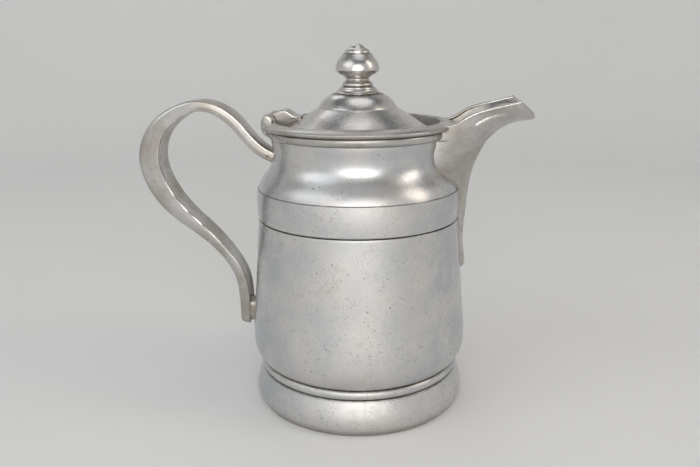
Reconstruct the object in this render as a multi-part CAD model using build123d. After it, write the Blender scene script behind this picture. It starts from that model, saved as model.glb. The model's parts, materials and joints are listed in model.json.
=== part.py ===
# Silver-plated pitcher with a hinged lid.
# The origin is on the table under the centre of the pot, with Z up, the spout
# towards +X and the handle towards -X. All sizes are in millimetres.

from build123d import *
from math import sqrt
import os

# Sheet and fits
wall = 1.2
lid_wall = 1.0
solder_gap = 0.02
running_gap = 0.05
moving_gap = 0.3

# Foot
foot_base_radius = 46.9
foot_radius = 48.5
foot_widest_height = 7.0
foot_top_radius = 45.6
foot_height = 16.0
foot_hem = 3.4
foot_shelf_radius = 40.0

# Bead between foot and bowl
bead_height = 4.4
bead_radius = 46.4
bead_edge_radius = 45.2
bead_inner_radius = 42.0

# Bowl
bowl_base_radius = 45.0
belly_radius = 49.5
belly_height = 31.0
bowl_top_radius = 45.2
seam_height = 86.5
seam_groove = 0.45
floor_rise = 2.5

# Shoulder and neck
shoulder_band_radius = 45.5
shoulder_band_height = 94.0
shoulder_line_height = 99.8
shoulder_step = 0.3
neck_radius = 37.7
neck_height = 117.0
mouth_radius = 38.4
mouth_height = 128.0
lap_length = 4.0

# Rolled rim
rim_radius = 42.7
rim_top = 129.1
rim_lip_radius = 36.2
rim_roll_depth = 3.2
rim_bead_radius = 40.4
rim_bottom = 122.0

# Lid and its seat
lid_radius = 35.6
lid_edge_height = 127.5
lid_edge_thickness = 1.1
lid_step_radius = 21.0
lid_step_height = 132.4
lid_step = 0.5
lid_top_radius = 10.9
lid_top = 140.4
seat_inner_radius = 34.0
seat_thickness = 1.0
seat_skirt = 3.0
lid_flange_radius = 33.2
lid_flange_depth = 3.0

# Knob
knob_base_radius = 9.9
knob_bead_radius = 6.8
knob_neck_radius = 5.0
knob_neck_height = 146.5
cap_height = 148.2
cap_radius = 9.6
cap_top = 157.3
cap_top_radius = 6.2
button_radius = 5.6
button_top = 161.4
stud_radius = 1.5
washer_radius = 5.0
washer_thickness = 0.8
nut_radius = 3.4
nut_height = 2.6

# Hinge
hinge_x = -38.65
hinge_z = 129.2
ear_width = 5.9
ear_height = 9.7
ear_centre_height = 127.25
ear_outer = 10.4
ear_inner = 4.7
knuckle_radius = 2.7
pin_radius = 1.1
bracket_bottom = 122.6
bracket_back = -41.2

# Spout
spout_wall = 1.1
spout_lean = (-0.76, 0.65)
spout_back = 30.0
spout_top_height = 128.3

# Handle
handle_groove = 0.5
handle_lip = 0.9
pad_half_width = 4.2
pad_bottom = 32.6
pad_top = 45.0


def at(radius, height):
    """A point of the profile plane, which holds the pot's axis."""
    return Vector(radius, 0, height)


def line(*points):
    """Straight edges through points of the profile plane."""
    return Polyline(*[at(*point) for point in points])


def curve(*points, start=None, end=None):
    """One smooth edge through points of the profile plane."""
    route = [at(*point) for point in points]
    if start is None:
        return Spline(*route)
    return Spline(*route, tangents=[at(*start), at(*end)])


def bow(first, middle, last):
    """An arc through three points of the profile plane."""
    return ThreePointArc(at(*first), at(*middle), at(*last))


def domed(radius, low, top):
    """The arc of a dome that meets the axis squarely."""
    rise = top - low
    sphere = (radius ** 2 + rise ** 2) / (2 * rise)
    middle = radius / 2
    height = top - sphere + sqrt(sphere ** 2 - middle ** 2)
    return bow((radius, low), (middle, height), (0, top))


def turned(*edges):
    """A solid turned about the pot's axis from a closed outline."""
    return revolve(make_face(list(edges)), Axis.Z)


def disc(radius, bottom, top):
    """An upright cylinder about the pot's axis."""
    return Pos(0, 0, (bottom + top) / 2) * Cylinder(radius, top - bottom)


def across(outline, half_width):
    """A solid of constant section along Y, centred on the middle plane."""
    return extrude(outline, amount=half_width, both=True)


def parallel(edges, depth, shares):
    """Points that lie inside rising edges, at the same depth everywhere."""
    points = []
    for edge in edges:
        for share in shares:
            here = edge.position_at(share)
            along = edge.tangent_at(share)
            points.append((here.X - along.Z * depth, here.Z + along.X * depth))
    return points


bowl_bottom = foot_height + bead_height
lid_brim_top = lid_edge_height + lid_edge_thickness
seat_top = lid_edge_height - moving_gap


def bowl_outline():
    """Outside of the bowl, from its base up to the seam."""
    corner = curve(
        (bowl_base_radius, bowl_bottom),
        (belly_radius - 1.4, bowl_bottom + 3.6),
        (belly_radius, belly_height),
        start=(1, 0.5),
        end=(0, 1),
    )
    side = curve(
        (belly_radius, belly_height),
        (belly_radius - 1.2, belly_height + 16),
        (bowl_top_radius + 1.3, seam_height - 18.5),
        (bowl_top_radius, seam_height),
        start=(0, 1),
        end=(-0.05, 1),
    )
    return [corner, side]


def shoulder_outline():
    """Outside of the shoulder and the neck, from the seam to the mouth."""
    band = curve(
        (bowl_top_radius, seam_height),
        (shoulder_band_radius, shoulder_band_height),
        (shoulder_band_radius - 0.4, shoulder_line_height),
    )
    step_radius = shoulder_band_radius - 0.4 - shoulder_step
    step = line((shoulder_band_radius - 0.4, shoulder_line_height), (step_radius, shoulder_line_height))
    shoulder = curve(
        (step_radius, shoulder_line_height),
        (neck_radius + 5.2, shoulder_line_height + 4.2),
        (neck_radius + 2.1, shoulder_line_height + 8.2),
        (neck_radius + 0.4, shoulder_line_height + 11.6),
        (neck_radius, neck_height),
        (mouth_radius, neck_height + 5),
        start=(-0.25, 1),
        end=(0, 1),
    )
    mouth = line((mouth_radius, neck_height + 5), (mouth_radius, mouth_height))
    return [band, step, shoulder, mouth]


def pot_form():
    """The pot filled up to its axis: everything that the outside skin holds."""
    base = line((bead_inner_radius, bowl_bottom), (bowl_base_radius, bowl_bottom))
    middle = bow(
        (0, bowl_bottom + floor_rise),
        (bead_inner_radius * 0.55, bowl_bottom + floor_rise * 0.7),
        (bead_inner_radius, bowl_bottom),
    )
    top = line((mouth_radius, mouth_height), (0, mouth_height), (0, bowl_bottom + floor_rise))
    return turned(middle, base, *bowl_outline(), *shoulder_outline(), top)


def pot_room():
    """The space inside the pot, a wall's thickness within its outside."""
    corner, side = bowl_outline()
    band, step, shoulder, mouth = shoulder_outline()
    points = [(bowl_base_radius - 1.0, bowl_bottom + wall + 0.25)]
    points += parallel([corner], wall, (0.35, 0.7))
    points += parallel([side], wall, (0.05, 0.4, 0.75))
    points += parallel([band], wall, (0.3, 0.8))
    points += parallel([shoulder], wall, (0.15, 0.35, 0.55, 0.75, 1))
    floor_height = bowl_bottom + wall
    middle = bow(
        (0, floor_height + floor_rise),
        (bead_inner_radius * 0.55, floor_height + floor_rise * 0.7),
        (bead_inner_radius, floor_height),
    )
    floor_edge = line((bead_inner_radius, floor_height), points[0])
    inside = curve(*points)
    over = mouth_height + 8
    top = line(points[-1], (mouth_radius - wall, mouth_height), (mouth_radius - wall, over),
               (0, over), (0, floor_height + floor_rise))
    return turned(middle, floor_edge, inside, top)


def foot_ring():
    """Hollow flared foot with a hem to stand on and a shelf for the bead."""
    outside = curve(
        (foot_base_radius, 0),
        (foot_radius - 0.4, foot_widest_height * 0.38),
        (foot_radius, foot_widest_height),
        (foot_radius - 1.1, foot_widest_height + 4.5),
        (foot_top_radius, foot_height),
    )
    hem_radius = foot_base_radius - foot_hem
    points = [(foot_base_radius - wall, wall)]
    points += parallel([outside], wall, (0.25, 0.5, 0.75))
    points += [(foot_top_radius - wall, foot_height - wall)]
    inside = curve(*points)
    shelf = line((foot_top_radius, foot_height), (foot_shelf_radius, foot_height),
                 (foot_shelf_radius, foot_height - wall), points[-1])
    hem = line(points[0], (hem_radius, wall), (hem_radius, 0), (foot_base_radius, 0))
    return turned(outside, shelf, inside, hem)


def foot_bead():
    """Bead ring that the bowl stands on."""
    outside = bow(
        (bead_edge_radius, foot_height),
        (bead_radius, foot_height + bead_height / 2),
        (bead_edge_radius, bowl_bottom),
    )
    rest = line((bead_edge_radius, bowl_bottom), (bead_inner_radius, bowl_bottom),
                (bead_inner_radius, foot_height), (bead_edge_radius, foot_height))
    return turned(outside, rest)


def seam_ring():
    """Groove along the seam, half in the bowl and half in the shoulder."""
    return Pos(0, 0, seam_height) * Torus(bowl_top_radius + seam_groove * 0.3, seam_groove)


def lap_sleeve():
    """Sleeve of the shoulder that is soldered inside the bowl's top."""
    outer = bowl_top_radius - wall - solder_gap
    low = seam_height - lap_length
    high = seam_height + lap_length / 2
    sleeve = disc(outer, low, seam_height) + disc(outer + wall / 2, seam_height, high)
    return sleeve - disc(outer - wall, low, high)


def rim_moulding():
    """Rolled rim: a wide roll over a smaller bead, outside the neck."""
    inner = mouth_radius + solder_gap
    roll_bottom = rim_top - rim_roll_depth
    crease_radius = rim_bead_radius - 0.5
    bead = bow(
        (inner, rim_bottom),
        (rim_bead_radius, (rim_bottom + roll_bottom) / 2),
        (crease_radius, roll_bottom),
    )
    roll = curve(
        (crease_radius, roll_bottom),
        (rim_radius - 0.5, roll_bottom + 0.9),
        (rim_radius, roll_bottom + 1.9),
        (rim_radius - 1.3, rim_top - 0.25),
        (rim_radius - 3.2, rim_top),
    )
    top = line((rim_radius - 3.2, rim_top), (rim_lip_radius, rim_top - 0.15),
               (rim_lip_radius, mouth_height), (inner, mouth_height), (inner, rim_bottom))
    return turned(bead, roll, top)


def lid_seat():
    """Ledge inside the mouth, with a skirt soldered to the neck."""
    outer = mouth_radius - wall - solder_gap
    ledge = line((seat_inner_radius, seat_top), (outer, seat_top), (outer, seat_top - seat_skirt),
                 (outer - seat_thickness, seat_top - seat_skirt),
                 (outer - seat_thickness, seat_top - seat_thickness),
                 (seat_inner_radius, seat_top - seat_thickness), (seat_inner_radius, seat_top))
    return turned(ledge)


# Spout sections lie in parallel planes that lean as the lip does. Each has the
# keel point (x, z), then the half-widths at three distances behind the keel.
spout_steps = (3.0, 7.5, 13.0)
spout_sections = (
    ((46.3, 62.0), (1.6, 3.6, 5.5)),
    ((47.75, 74.0), (2.2, 4.6, 7.0)),
    ((48.2, 87.0), (2.6, 5.6, 9.0)),
    ((49.1, 97.5), (2.9, 6.9, 13.0)),
    ((50.9, 107.5), (4.6, 10.4, 14.6)),
    ((53.8, 115.0), (6.4, 12.2, 14.9)),
    ((59.1, 123.4), (7.6, 12.9, 14.9)),
    ((67.0, 128.2), (8.0, 13.1, 14.8)),
    ((76.7, 130.5), (8.2, 13.0, 14.7)),
)
spout_top_edge = ((42.0, 128.3), (48.0, 131.8), (56.0, 134.6), (68.5, 137.5), (80.0, 139.6))
trough_first = 3


def spout_frame(keel):
    """Plane of one spout section, with its X axis leading back from the keel."""
    back = Vector(spout_lean[0], 0, spout_lean[1])
    ahead = Vector(spout_lean[1], 0, -spout_lean[0])
    return Plane(origin=(keel[0], 0, keel[1]), x_dir=back, z_dir=ahead)


def spout_section(keel, widths, depth, back):
    """One V-shaped section with a rounded keel, drawn in by a depth."""
    side = [(step, width) for step, width in zip(spout_steps, widths)]
    end = (spout_back, widths[-1] + 0.3)
    half = [(0, 0)] + side + [end]
    route = [(x, -y) for x, y in reversed(half)] + half[1:]
    outer = Spline(*route)
    if depth == 0:
        rim = outer
    else:
        points = []
        for share in (0, 0.12, 0.24, 0.36, 0.44, 0.5, 0.56, 0.64, 0.76, 0.88, 1):
            here = outer.position_at(share)
            along = outer.tangent_at(share)
            points.append((here.X + along.Y * depth, here.Y - along.X * depth))
        points[0] = (points[0][0] + back, points[0][1])
        points[-1] = (points[-1][0] + back, points[-1][1])
        rim = Spline(*points)
    closing = Line(rim.position_at(1), rim.position_at(0))
    return spout_frame(keel) * make_face([rim, closing])


def spout_form():
    """The spout as a full solid, reaching into the pot."""
    return loft([spout_section(keel, widths, 0, 0) for keel, widths in spout_sections])


def trough_form():
    """The channel inside the spout, open at the lip and into the pot."""
    faces = [spout_section(keel, widths, spout_wall, 4) for keel, widths in spout_sections[trough_first:]]
    tip, widths = spout_sections[-1]
    past = (tip[0] + spout_lean[1] * 3, tip[1] - spout_lean[0] * 3)
    faces.append(spout_section(past, widths, spout_wall, 4))
    return loft(faces)


def above_spout():
    """Everything above the spout's top edges."""
    edge = curve(*spout_top_edge)
    first = spout_top_edge[0]
    last = spout_top_edge[-1]
    rest = line(last, (last[0], 170), (0, 170), (0, first[1]), first)
    return across(make_face([edge, rest]), 30)


# Handle sections stand square to the finger side. Each has its point (x, z) on
# that side, the depth of its flanks, the depth of its crown and its half-width.
handle_sections = (
    ((-36.6, 109.5), 3.9, 4.6, 5.0),
    ((-45.3, 114.1), 4.2, 5.0, 5.3),
    ((-51.8, 120.8), 4.0, 5.0, 5.7),
    ((-58.2, 127.9), 4.1, 4.9, 6.1),
    ((-69.2, 133.0), 3.9, 4.7, 6.4),
    ((-79.3, 129.7), 4.9, 6.3, 6.5),
    ((-87.2, 121.9), 6.5, 8.8, 6.5),
    ((-89.9, 112.0), 8.2, 10.5, 6.5),
    ((-87.0, 100.4), 7.9, 10.2, 6.5),
    ((-80.6, 90.4), 6.2, 8.8, 6.4),
    ((-69.6, 79.3), 3.9, 6.5, 6.2),
    ((-59.3, 67.6), 3.0, 5.4, 5.8),
    ((-53.0, 56.2), 3.8, 5.4, 5.3),
    ((-51.4, 45.0), 4.2, 5.3, 4.8),
    ((-51.8, 32.0), 3.8, 4.6, 4.5),
)


def handle_section(foot, along, flank, crown, half_width):
    """D-shaped section with a grooved flat side, two flanks and a crown."""
    plane = Plane(origin=foot, x_dir=(0, -1, 0), z_dir=along)
    lip = half_width - handle_lip
    groove = ThreePointArc((-lip, 0), (0, handle_groove), (lip, 0))
    flanks = [
        Line((lip, 0), (half_width, 0)),
        Line((half_width, 0), (half_width, flank)),
        ThreePointArc((half_width, flank), (0, crown), (-half_width, flank)),
        Line((-half_width, flank), (-half_width, 0)),
        Line((-half_width, 0), (-lip, 0)),
    ]
    return plane * make_face([groove] + flanks)


def handle():
    """Scroll handle, thickest where the hand closes round it."""
    route = curve(*[section[0] for section in handle_sections])
    faces = []
    for foot, flank, crown, half_width in handle_sections:
        point = at(*foot)
        along = route.tangent_at(route.param_at_point(point))
        faces.append(handle_section(point, along, flank, crown, half_width))
    return loft(faces)


def handle_pad():
    """Pad between the handle's lower end and the bowl."""
    middle = (pad_bottom + pad_top) / 2
    height = pad_top - pad_bottom
    outline = SlotOverall(height, pad_half_width * 2, rotation=90)
    return extrude(Plane(origin=(-56, 0, middle), x_dir=(0, 1, 0), z_dir=(1, 0, 0)) * outline, amount=12)


def hinge_bar(radius, half_length):
    """A cylinder on the hinge's axis."""
    return Pos(hinge_x, 0, hinge_z) * Rot(90, 0, 0) * Cylinder(radius, half_length * 2)


def hinge_bracket():
    """Two oval ears on a cross bar, let into the rim."""
    oval = Ellipse(ear_width / 2, ear_height / 2)
    place = Plane(origin=(hinge_x, 0, ear_centre_height), x_dir=(1, 0, 0), z_dir=(0, -1, 0))
    ears = across(place * oval, ear_outer)
    ears -= Pos(hinge_x, 0, ear_centre_height) * Box(ear_width * 2, ear_inner * 2, ear_height * 2)
    bar_top = hinge_z - knuckle_radius - moving_gap
    bar_depth = -mouth_radius - bracket_back
    bar = Pos(bracket_back + bar_depth / 2, 0, (bracket_bottom + bar_top) / 2)
    ears += bar * Box(bar_depth, ear_inner * 2 + 1, bar_top - bracket_bottom)
    return ears - hinge_bar(pin_radius + solder_gap, ear_outer + 1)


def hinge_notch():
    """Room for the bracket in the rim."""
    depth = rim_radius + 5
    low = ear_centre_height - ear_height / 2
    return Pos(-rim_lip_radius - depth / 2 + 1.5, 0, low + 10) * Box(depth, ear_outer * 2, 20)


def hinge_leaf(lid_form):
    """Middle knuckle with a raised leaf that runs down onto the lid."""
    half_width = ear_inner - moving_gap
    top = curve(
        (hinge_x, hinge_z + knuckle_radius),
        (hinge_x + 4.4, hinge_z + 4.0),
        (hinge_x + 7.6, hinge_z + 4.2),
        (hinge_x + 10.4, hinge_z + 2.4),
        (hinge_x + 14.2, hinge_z + 2.0),
    )
    rest = line((hinge_x + 14.2, hinge_z + 2.0), (hinge_x + 14.2, hinge_z),
                (hinge_x + 4.0, hinge_z - 2.0), (hinge_x + 1.8, hinge_z - 1.9),
                (hinge_x, hinge_z), (hinge_x, hinge_z + knuckle_radius))
    leaf = across(make_face([top, rest]), half_width)
    leaf += hinge_bar(knuckle_radius, half_width)
    leaf -= lid_form
    return leaf - hinge_bar(pin_radius + running_gap, half_width + 1)


def lid_outline(depth):
    """Outside of the lid, or the inside at a depth below it."""
    step_top = lid_step_height + lid_step
    lower = curve(
        (lid_radius, lid_brim_top),
        (lid_radius - 6.6, lid_brim_top + 1.7),
        (lid_step_radius, lid_step_height),
    )
    upper = curve(
        (lid_step_radius - 0.3, step_top),
        (lid_step_radius - 3.6, step_top + 2.3),
        (lid_step_radius - 7.0, step_top + 5.2),
        (lid_top_radius, lid_top),
    )
    if depth == 0:
        step = line((lid_step_radius, lid_step_height), (lid_step_radius - 0.3, step_top))
        return [lower, step, upper]
    points = parallel([lower], depth, (0.12, 0.5, 0.88)) + parallel([upper], depth, (0.12, 0.5, 0.88))
    return [curve(*points)]


def lid_form():
    """The lid filled up to its axis."""
    brim = line((0, lid_edge_height), (lid_radius, lid_edge_height), (lid_radius, lid_brim_top))
    crown = line((lid_top_radius, lid_top), (0, lid_top), (0, lid_edge_height))
    return turned(brim, *lid_outline(0), crown)


def lid_dome():
    """Two-tier lid with a flat brim, hollow below."""
    inside, = lid_outline(lid_wall)
    first = inside.position_at(0)
    last = inside.position_at(1)
    brim_inner = lid_flange_radius - lid_wall - 0.6
    low = lid_edge_height - 1
    rest = line((last.X, last.Z), (last.X - 1.5, lid_top - lid_wall), (0, lid_top - lid_wall), (0, low),
                (brim_inner, low), (brim_inner, lid_edge_height + 0.9), (first.X, first.Z))
    return lid_form() - turned(inside, rest) - disc(stud_radius + solder_gap, lid_edge_height, lid_top + 1)


def lid_flange():
    """Ring under the lid that keeps it centred in the mouth."""
    low = lid_edge_height - lid_flange_depth
    return disc(lid_flange_radius, low, lid_edge_height) - disc(lid_flange_radius - lid_wall, low, lid_edge_height)


def finial_base():
    """Stepped skirt, bead and neck of the knob."""
    base = line((0, lid_top), (knob_base_radius, lid_top), (knob_base_radius, lid_top + 0.5))
    skirt = bow((knob_base_radius, lid_top + 0.5), (knob_base_radius - 1.0, lid_top + 1.2),
                (knob_base_radius - 1.4, lid_top + 2.0))
    tread = line((knob_base_radius - 1.4, lid_top + 2.0), (knob_base_radius - 2.0, lid_top + 2.0),
                 (knob_base_radius - 2.2, lid_top + 2.8), (knob_bead_radius - 0.5, lid_top + 3.0))
    bead = bow((knob_bead_radius - 0.5, lid_top + 3.0), (knob_bead_radius, lid_top + 3.9),
               (knob_bead_radius - 0.6, lid_top + 4.7))
    neck = curve((knob_bead_radius - 0.6, lid_top + 4.7), (knob_neck_radius, knob_neck_height),
                 (knob_neck_radius + 1.6, cap_height))
    close = line((knob_neck_radius + 1.6, cap_height), (0, cap_height), (0, lid_top))
    solid = turned(base, skirt, tread, bead, neck, close)
    return solid - disc(stud_radius + solder_gap, lid_top - 1, cap_height + 1)


def finial_cap():
    """Mushroom of the knob."""
    under = curve((knob_neck_radius + 1.6, cap_height), (cap_radius - 1.0, cap_height + 1.0),
                  (cap_radius, cap_height + 2.1))
    dome = curve((cap_radius, cap_height + 2.1), (cap_radius - 0.5, cap_height + 4.8),
                 (cap_radius - 1.6, cap_height + 6.8), (cap_top_radius, cap_top))
    close = line((cap_top_radius, cap_top), (0, cap_top), (0, cap_height), (knob_neck_radius + 1.6, cap_height))
    return turned(under, dome, close) - disc(stud_radius + solder_gap, cap_height - 1, cap_top + 1)


def finial_stud():
    """Button head on a shank that runs down through the knob and the lid."""
    side = line((0, cap_top), (button_radius, cap_top), (button_radius - 0.1, cap_top + 0.9))
    shoulder = bow((button_radius - 0.1, cap_top + 0.9), (button_radius - 0.9, cap_top + 1.8),
                   (button_radius - 2.2, cap_top + 2.3))
    crown = domed(button_radius - 2.2, cap_top + 2.3, button_top)
    head = turned(side, shoulder, crown, line((0, button_top), (0, cap_top)))
    low = lid_top - lid_wall - washer_thickness - nut_height - 0.8
    return head + disc(stud_radius, low, cap_top + 0.5)


def finial_washer():
    """Washer under the lid."""
    top = lid_top - lid_wall
    ring = disc(washer_radius, top - washer_thickness, top)
    return ring - disc(stud_radius + solder_gap, top - washer_thickness, top)


def finial_nut():
    """Hexagonal nut that draws the knob down."""
    top = lid_top - lid_wall - washer_thickness
    hexagon = extrude(Plane.XY.offset(top - nut_height) * RegularPolygon(nut_radius, 6), amount=nut_height)
    return hexagon - disc(stud_radius + solder_gap, top - nut_height, top)


def build():
    """Every piece of the pitcher, by name."""
    full = pot_form()
    mouth_clear = full + disc(mouth_radius, neck_height + 5, mouth_height + 20)
    shell = full - pot_room()
    spout_full = spout_form()
    trough = trough_form()
    notch = hinge_notch()
    swing = hinge_bar(knuckle_radius + moving_gap, ear_inner)

    below_seam = disc(belly_radius + 5, 0, seam_height)
    bowl = (shell & below_seam) - seam_ring()
    upper = (shell - below_seam) - seam_ring() - trough
    upper = (upper - notch) + lap_sleeve()
    seat = lid_seat() - trough - swing
    rim = rim_moulding() - spout_full - notch
    spout = spout_full - trough - mouth_clear - above_spout()
    bracket = (hinge_bracket() & notch) - disc(mouth_radius - wall, rim_bottom, seat_top)
    grip = handle() - full
    pad = handle_pad() - full - grip

    lid_solid = lid_form()
    return {
        "lower_body": bowl,
        "upper_body": upper,
        "rim_moulding": rim,
        "lid_seat": seat,
        "foot_bead": foot_bead(),
        "foot_ring": foot_ring(),
        "spout": spout,
        "handle": grip,
        "handle_pad": pad,
        "hinge_bracket": bracket,
        "hinge_pin": hinge_bar(pin_radius, ear_outer),
        "lid_dome": lid_dome(),
        "lid_flange": lid_flange(),
        "hinge_leaf": hinge_leaf(lid_solid),
        "finial_base": finial_base(),
        "finial_cap": finial_cap(),
        "finial_stud": finial_stud(),
        "finial_washer": finial_washer(),
        "finial_nut": finial_nut(),
    }


os.makedirs("parts", exist_ok=True)
for name, piece in build().items():
    print(name, round(piece.volume, 1), len(piece.solids()))
    export_step(piece, f"parts/{name}.step")
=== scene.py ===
# Looks of the silver-plated pitcher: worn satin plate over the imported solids.
# Sizes are in millimetres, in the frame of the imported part, and pieces are
# scaled to metres when their meshes are made.

import bpy
import json
import numpy as np
from math import pi, radians, sin, cos, sqrt, hypot, ceil
from mathutils import Vector, Matrix, noise


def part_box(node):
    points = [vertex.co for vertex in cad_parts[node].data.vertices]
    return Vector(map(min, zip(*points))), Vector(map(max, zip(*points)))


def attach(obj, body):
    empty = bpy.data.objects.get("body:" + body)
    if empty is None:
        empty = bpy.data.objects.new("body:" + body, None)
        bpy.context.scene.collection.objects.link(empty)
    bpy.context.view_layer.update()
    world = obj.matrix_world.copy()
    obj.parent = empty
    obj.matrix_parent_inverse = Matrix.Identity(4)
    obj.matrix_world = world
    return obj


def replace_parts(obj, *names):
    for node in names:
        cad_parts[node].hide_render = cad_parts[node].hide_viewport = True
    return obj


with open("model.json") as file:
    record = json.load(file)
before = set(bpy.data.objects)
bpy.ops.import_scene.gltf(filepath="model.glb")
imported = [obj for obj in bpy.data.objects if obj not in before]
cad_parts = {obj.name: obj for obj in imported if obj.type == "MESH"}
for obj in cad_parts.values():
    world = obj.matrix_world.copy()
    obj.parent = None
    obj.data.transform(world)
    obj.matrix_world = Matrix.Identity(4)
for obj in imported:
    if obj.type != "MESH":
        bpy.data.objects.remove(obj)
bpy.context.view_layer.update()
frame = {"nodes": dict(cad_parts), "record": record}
nodes = frame["nodes"]

mm = 0.001


def top_of(node):
    """Highest point of a solid."""
    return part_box(node)[1].z / mm


def low_of(node):
    """Lowest point of a solid."""
    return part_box(node)[0].z / mm


def reach_of(node):
    """Farthest reach of a solid towards the side of the pot."""
    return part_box(node)[1].y / mm


# Sheet and fits
wall = 1.2
solder_gap = 0.02
moving_gap = 0.3
sharp_angle = 38

# Sizes of the pot, from the foot up. The photo's rim is rounder and its lid sits
# deeper than in the solids, so rim_top and lid_edge_height aren't read from them.
foot_height = top_of("foot_ring")
foot_radius = reach_of("foot_ring")
foot_base_radius = 46.9
foot_widest_height = 7.0
foot_top_radius = 45.6
foot_hem = 3.4
foot_shelf = 5.6
bead_edge_radius = 45.2
bead_inner_radius = 42.0
bowl_bottom = top_of("foot_bead")
bowl_base_radius = 45.0
belly_radius = reach_of("lower_body")
belly_height = 31.0
bowl_top_radius = 45.2
floor_rise = 2.5
seam_height = top_of("lower_body")
seam_depth = 0.5
seam_width = 0.5
band_radius = 45.5
band_widest_height = 94.0
band_inset = 0.4
band_top = 99.8
band_drop = 0.35
lap_length = 4.0
lap_rise = 2.0
neck_radius = 37.7
neck_height = 117.0
mouth_radius = 38.4
mouth_bottom = 122.0
mouth_height = top_of("upper_body")
rim_top = 128.9
rim_radius = reach_of("rim_moulding")
rim_roll_height = 3.2
rim_bead_overhang = 2.0
rim_lip_radius = 36.2

# Sizes of the lid and its knob
lid_radius = reach_of("lid_dome")
lid_edge_height = 123.4
lid_edge_thickness = 0.8
lid_tier_radius = 17.4
lid_tier_rise = 10.2
lid_tier_gap = 0.5
lid_wall = 1.0
lid_top_radius = 10.9
lid_top = low_of("finial_base")
knob_base_radius = reach_of("finial_base")
knob_bead_radius = 6.8
knob_neck_radius = 5.0
knob_neck_rise = 6.1
cap_bottom = low_of("finial_cap")
cap_radius = reach_of("finial_cap")
cap_top = top_of("finial_cap")
cap_top_radius = 6.2
button_radius = reach_of("finial_stud")
button_top = top_of("finial_stud")
button_sink = 0.4
seat_width = 1.6
seat_thickness = 1.0
flange_inset = 2.4
flange_thickness = 1.0
flange_depth = 3.0

# Hinge
hinge_x = -38.65
hinge_z = 129.2
ear_width = 5.9
ear_height = 9.7
ear_drop = 1.95
ear_inner = 4.7
ear_outer = 10.4
knuckle_radius = 2.7
leaf_length = 14.2
leaf_half_width = 4.4
notch_half_width = 10.4
ear_centre = hinge_z - ear_drop


# Curves

def flow(points, start=None, end=None, step=0.5):
    """Close points along one smooth curve through the given ones."""
    knots = np.array(points, float)
    gaps = np.linalg.norm(np.diff(knots, axis=0), axis=1)
    count = len(knots)
    slopes = np.diff(knots, axis=0) / gaps[:, None]
    left = np.zeros((count, count))
    right = np.zeros_like(knots)
    for i in range(1, count - 1):
        left[i, i - 1:i + 2] = gaps[i], 2 * (gaps[i - 1] + gaps[i]), gaps[i - 1]
        right[i] = 3 * (gaps[i] * slopes[i - 1] + gaps[i - 1] * slopes[i])
    for row, near, given, slope in ((0, 1, start, slopes[0]), (-1, -2, end, slopes[-1])):
        left[row, row] = 1 if given else 2
        left[row, near] = 0 if given else 1
        right[row] = np.array(given) / np.linalg.norm(given) if given else 3 * slope
    speeds = np.linalg.solve(left, right)
    made = [knots[0]]
    for i in range(count - 1):
        for t in np.linspace(0, 1, max(2, ceil(gaps[i] / step)) + 1)[1:]:
            a = (1 + 2 * t) * (1 - t) ** 2 * knots[i] + t * t * (3 - 2 * t) * knots[i + 1]
            b = t * (1 - t) ** 2 * speeds[i] - t * t * (1 - t) * speeds[i + 1]
            made.append(a + b * gaps[i])
    return [tuple(point) for point in made]


def bow(first, middle, last, step=0.4):
    """Close points along the arc through three points."""
    (ax, ay), (bx, by), (cx, cy) = first, middle, last
    d = 2 * (ax * (by - cy) + bx * (cy - ay) + cx * (ay - by))
    a2, b2, c2 = ax * ax + ay * ay, bx * bx + by * by, cx * cx + cy * cy
    centre = np.array([(a2 * (by - cy) + b2 * (cy - ay) + c2 * (ay - by)) / d,
                       (a2 * (cx - bx) + b2 * (ax - cx) + c2 * (bx - ax)) / d])
    radius = np.linalg.norm(np.array(first) - centre)
    angle = [np.arctan2(y - centre[1], x - centre[0]) for x, y in (first, middle, last)]
    turn = (angle[2] - angle[0]) % (2 * pi)
    if (angle[1] - angle[0]) % (2 * pi) > turn:
        turn -= 2 * pi
    count = max(4, ceil(abs(turn) * radius / step))
    return [(centre[0] + radius * cos(angle[0] + turn * i / count),
             centre[1] + radius * sin(angle[0] + turn * i / count)) for i in range(count + 1)]


def straight(*points, step=1.2):
    """Close points along straight lines."""
    made = [points[0]]
    for (ax, ay), (bx, by) in zip(points, points[1:]):
        count = max(1, ceil(hypot(bx - ax, by - ay) / step))
        made += [(ax + (bx - ax) * i / count, ay + (by - ay) * i / count) for i in range(1, count + 1)]
    return made


def joined(*runs):
    """One run of points from several that meet end to end."""
    made = list(runs[0])
    for run in runs[1:]:
        if hypot(run[0][0] - made[-1][0], run[0][1] - made[-1][1]) < 0.01:
            run = run[1:]
        made += run
    return made


def softened(points, reach, closed=False):
    """The same outline with its sharp corners rounded over a short reach."""
    made = []
    count = len(points)
    for i, here in enumerate(points):
        if not closed and i in (0, count - 1):
            made.append(here)
            continue
        before = np.array(points[i - 1])
        after = np.array(points[(i + 1) % count])
        corner = np.array(here)
        back = before - corner
        ahead = after - corner
        straightness = -np.dot(back, ahead) / (np.linalg.norm(back) * np.linalg.norm(ahead))
        if straightness > cos(radians(25)):
            made.append(here)
            continue
        back *= min(reach, np.linalg.norm(back) * 0.45) / np.linalg.norm(back)
        ahead *= min(reach, np.linalg.norm(ahead) * 0.45) / np.linalg.norm(ahead)
        for t in (0, 0.25, 0.5, 0.75, 1):
            point = corner + back * (1 - t) ** 2 + ahead * t * t
            made.append(tuple(point))
    return made


def inward(points, depth):
    """A run of points at one depth to the left of a rising outline."""
    made = []
    for i, (x, y) in enumerate(points):
        ax, ay = points[max(i - 1, 0)]
        bx, by = points[min(i + 1, len(points) - 1)]
        length = hypot(bx - ax, by - ay)
        made.append((x - (by - ay) / length * depth, y + (bx - ax) / length * depth))
    return made


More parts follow.
